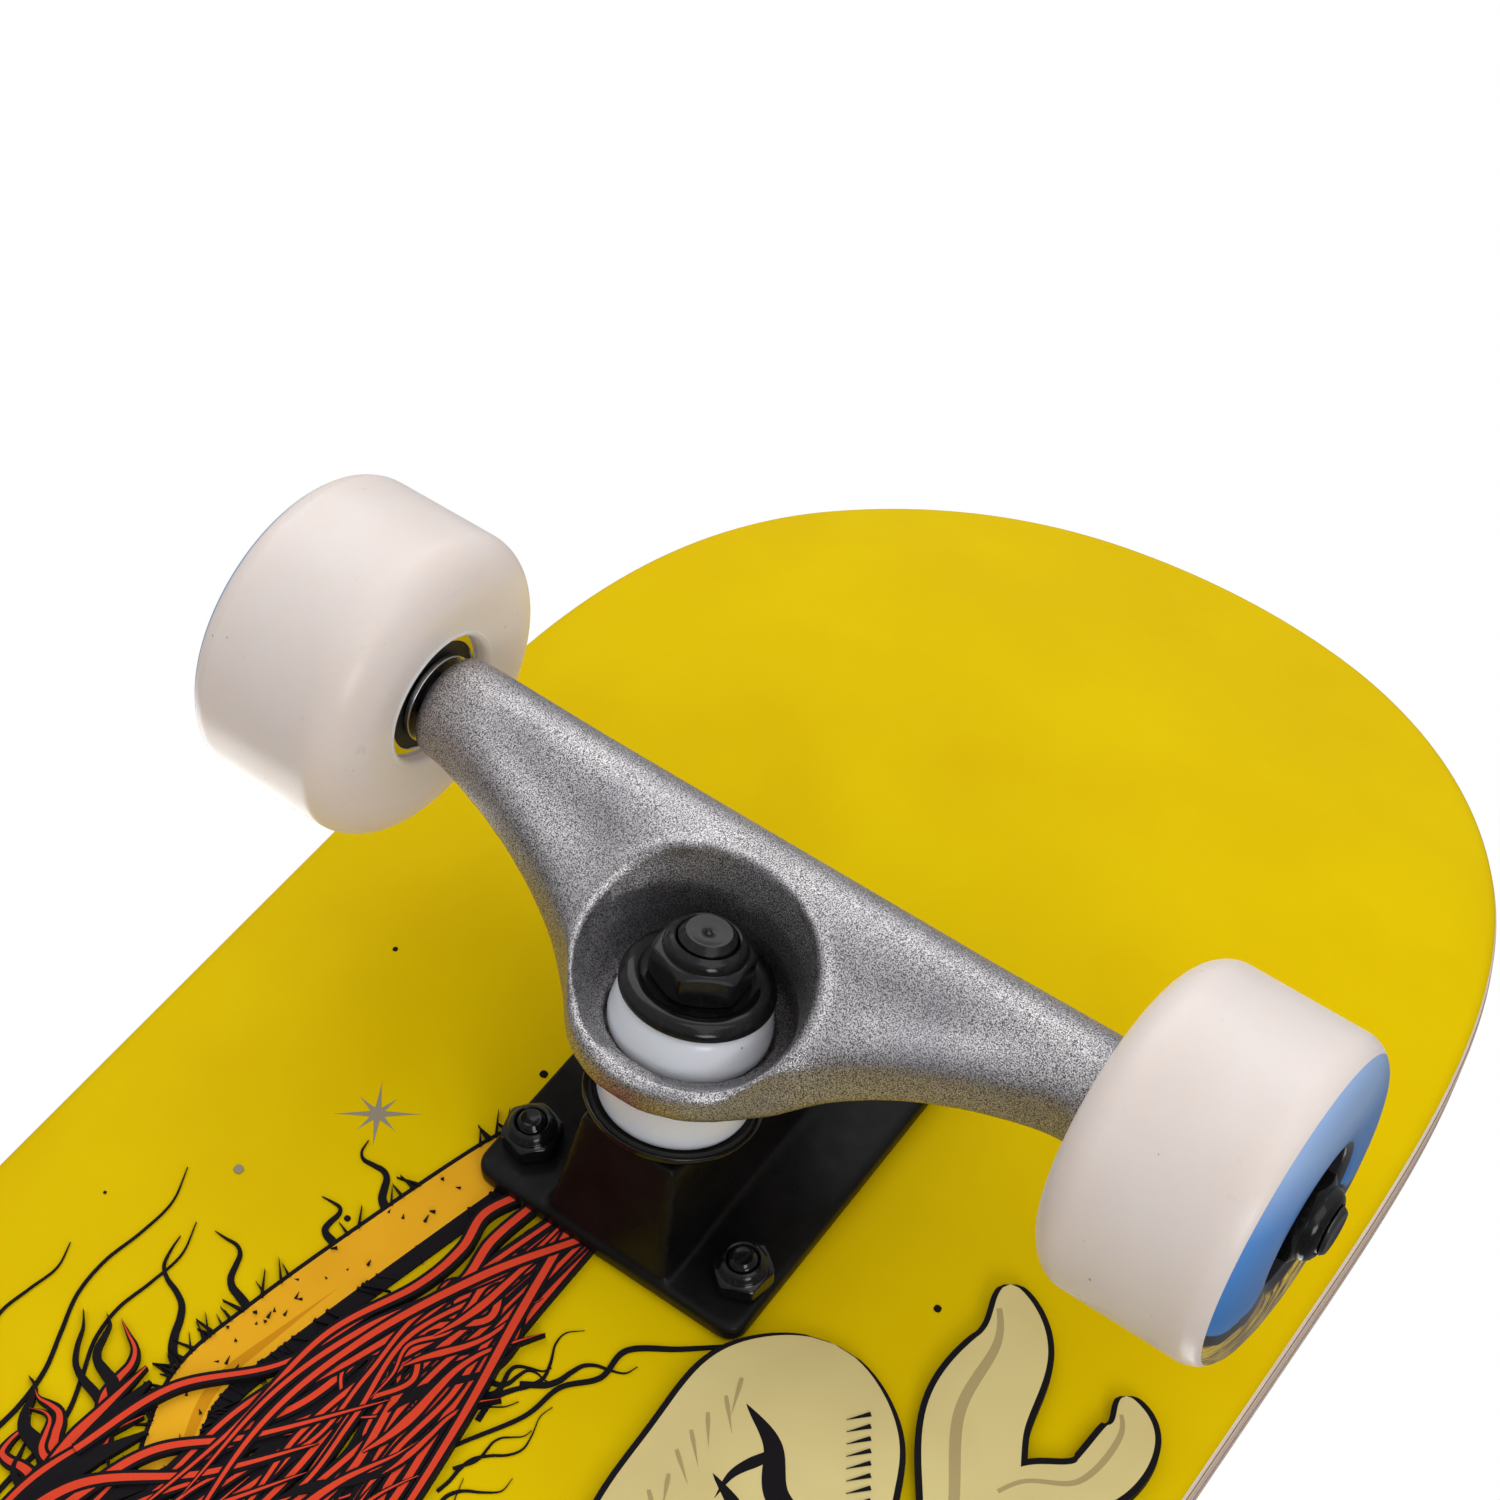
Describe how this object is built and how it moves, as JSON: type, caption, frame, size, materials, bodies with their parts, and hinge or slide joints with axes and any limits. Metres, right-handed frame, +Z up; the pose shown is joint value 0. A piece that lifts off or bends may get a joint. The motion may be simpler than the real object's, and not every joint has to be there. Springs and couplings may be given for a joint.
{
  "type": "skateboard",
  "caption": "Popsicle-shaped maple skateboard with painted underside, grip tape, two kingpin trucks and four urethane wheels on bearings.",
  "frame": {"origin": "middle of the board's plan box, on the ground that the wheels stand on", "axes": "+X towards the nose, +Y to the rider's left when facing the nose, +Z up out of the grip tape"},
  "size_m": [0.7208, 0.1958, 0.125],
  "materials": {
    "maple_painted": "yellow satin lacquer over seven-ply maple",
    "grip": "black silicon-carbide grit",
    "black_satin": "satin black powder coat",
    "black_oxide": "black oxide on steel",
    "cast_aluminium": "bead-blasted casting",
    "bright_steel": "ground steel",
    "wheel_urethane": "off-white cast urethane",
    "bushing_urethane": "white urethane",
    "pivot_urethane": "dark urethane"
  },
  "bodies": {
    "deck": {"deck": "maple_painted", "grip_tape": "grip", "front_baseplate": "black_satin", "front_pivot_cup": "pivot_urethane", "front_kingpin": "black_oxide", "front_lower_washer": "black_oxide", "front_lower_bushing": "bushing_urethane", "front_upper_bushing": "bushing_urethane", "front_upper_washer": "black_oxide", "front_kingpin_nut": "black_oxide", "front_bolt_1": "black_oxide", "front_nut_1": "black_oxide", "front_bolt_2": "black_oxide", "front_nut_2": "black_oxide", "front_bolt_3": "black_oxide", "front_nut_3": "black_oxide", "front_bolt_4": "black_oxide", "front_nut_4": "black_oxide", "rear_baseplate": "black_satin", "rear_pivot_cup": "pivot_urethane", "rear_kingpin": "black_oxide", "rear_lower_washer": "black_oxide", "rear_lower_bushing": "bushing_urethane", "rear_upper_bushing": "bushing_urethane", "rear_upper_washer": "black_oxide", "rear_kingpin_nut": "black_oxide", "rear_bolt_1": "black_oxide", "rear_nut_1": "black_oxide", "rear_bolt_2": "black_oxide", "rear_nut_2": "black_oxide", "rear_bolt_3": "black_oxide", "rear_nut_3": "black_oxide", "rear_bolt_4": "black_oxide", "rear_nut_4": "black_oxide"},
    "front_hanger_assembly": {"front_hanger": "cast_aluminium", "front_axle": "bright_steel", "front_left_speed_washer": "bright_steel", "front_left_axle_nut": "black_oxide", "front_right_speed_washer": "bright_steel", "front_right_axle_nut": "black_oxide"},
    "front_left_wheel_assembly": {"front_left_wheel": "wheel_urethane", "front_left_inner_bearing": "bright_steel", "front_left_outer_bearing": "bright_steel"},
    "front_right_wheel_assembly": {"front_right_wheel": "wheel_urethane", "front_right_inner_bearing": "bright_steel", "front_right_outer_bearing": "bright_steel"},
    "rear_hanger_assembly": {"rear_hanger": "cast_aluminium", "rear_axle": "bright_steel", "rear_left_speed_washer": "bright_steel", "rear_left_axle_nut": "black_oxide", "rear_right_speed_washer": "bright_steel", "rear_right_axle_nut": "black_oxide"},
    "rear_left_wheel_assembly": {"rear_left_wheel": "wheel_urethane", "rear_left_inner_bearing": "bright_steel", "rear_left_outer_bearing": "bright_steel"},
    "rear_right_wheel_assembly": {"rear_right_wheel": "wheel_urethane", "rear_right_inner_bearing": "bright_steel", "rear_right_outer_bearing": "bright_steel"}
  },
  "joints": [
    {"name": "front_truck_steer", "type": "hinge", "parent": "deck", "child": "front_hanger_assembly", "pos_m": [0.17602, 0, 0.03966], "axis": [0.8357, 0, 0.5492], "range_deg": [-12, 12], "stiffness_Nm_per_rad": 35, "deforming": ["front_lower_bushing", "front_upper_bushing"]},
    {"name": "front_left_spin", "type": "hinge", "parent": "front_hanger_assembly", "child": "front_left_wheel_assembly", "pos_m": [0.19545, 0.0776, 0.02665], "axis": [0, 1, 0], "continuous": true},
    {"name": "front_right_spin", "type": "hinge", "parent": "front_hanger_assembly", "child": "front_right_wheel_assembly", "pos_m": [0.19545, -0.0776, 0.02665], "axis": [0, 1, 0], "continuous": true},
    {"name": "rear_truck_steer", "type": "hinge", "parent": "deck", "child": "rear_hanger_assembly", "pos_m": [-0.18252, 0, 0.03966], "axis": [-0.8357, 0, 0.5492], "range_deg": [-12, 12], "stiffness_Nm_per_rad": 35, "deforming": ["rear_lower_bushing", "rear_upper_bushing"]},
    {"name": "rear_left_spin", "type": "hinge", "parent": "rear_hanger_assembly", "child": "rear_left_wheel_assembly", "pos_m": [-0.20195, 0.0776, 0.02665], "axis": [0, 1, 0], "continuous": true},
    {"name": "rear_right_spin", "type": "hinge", "parent": "rear_hanger_assembly", "child": "rear_right_wheel_assembly", "pos_m": [-0.20195, -0.0776, 0.02665], "axis": [0, 1, 0], "continuous": true}
  ]
}
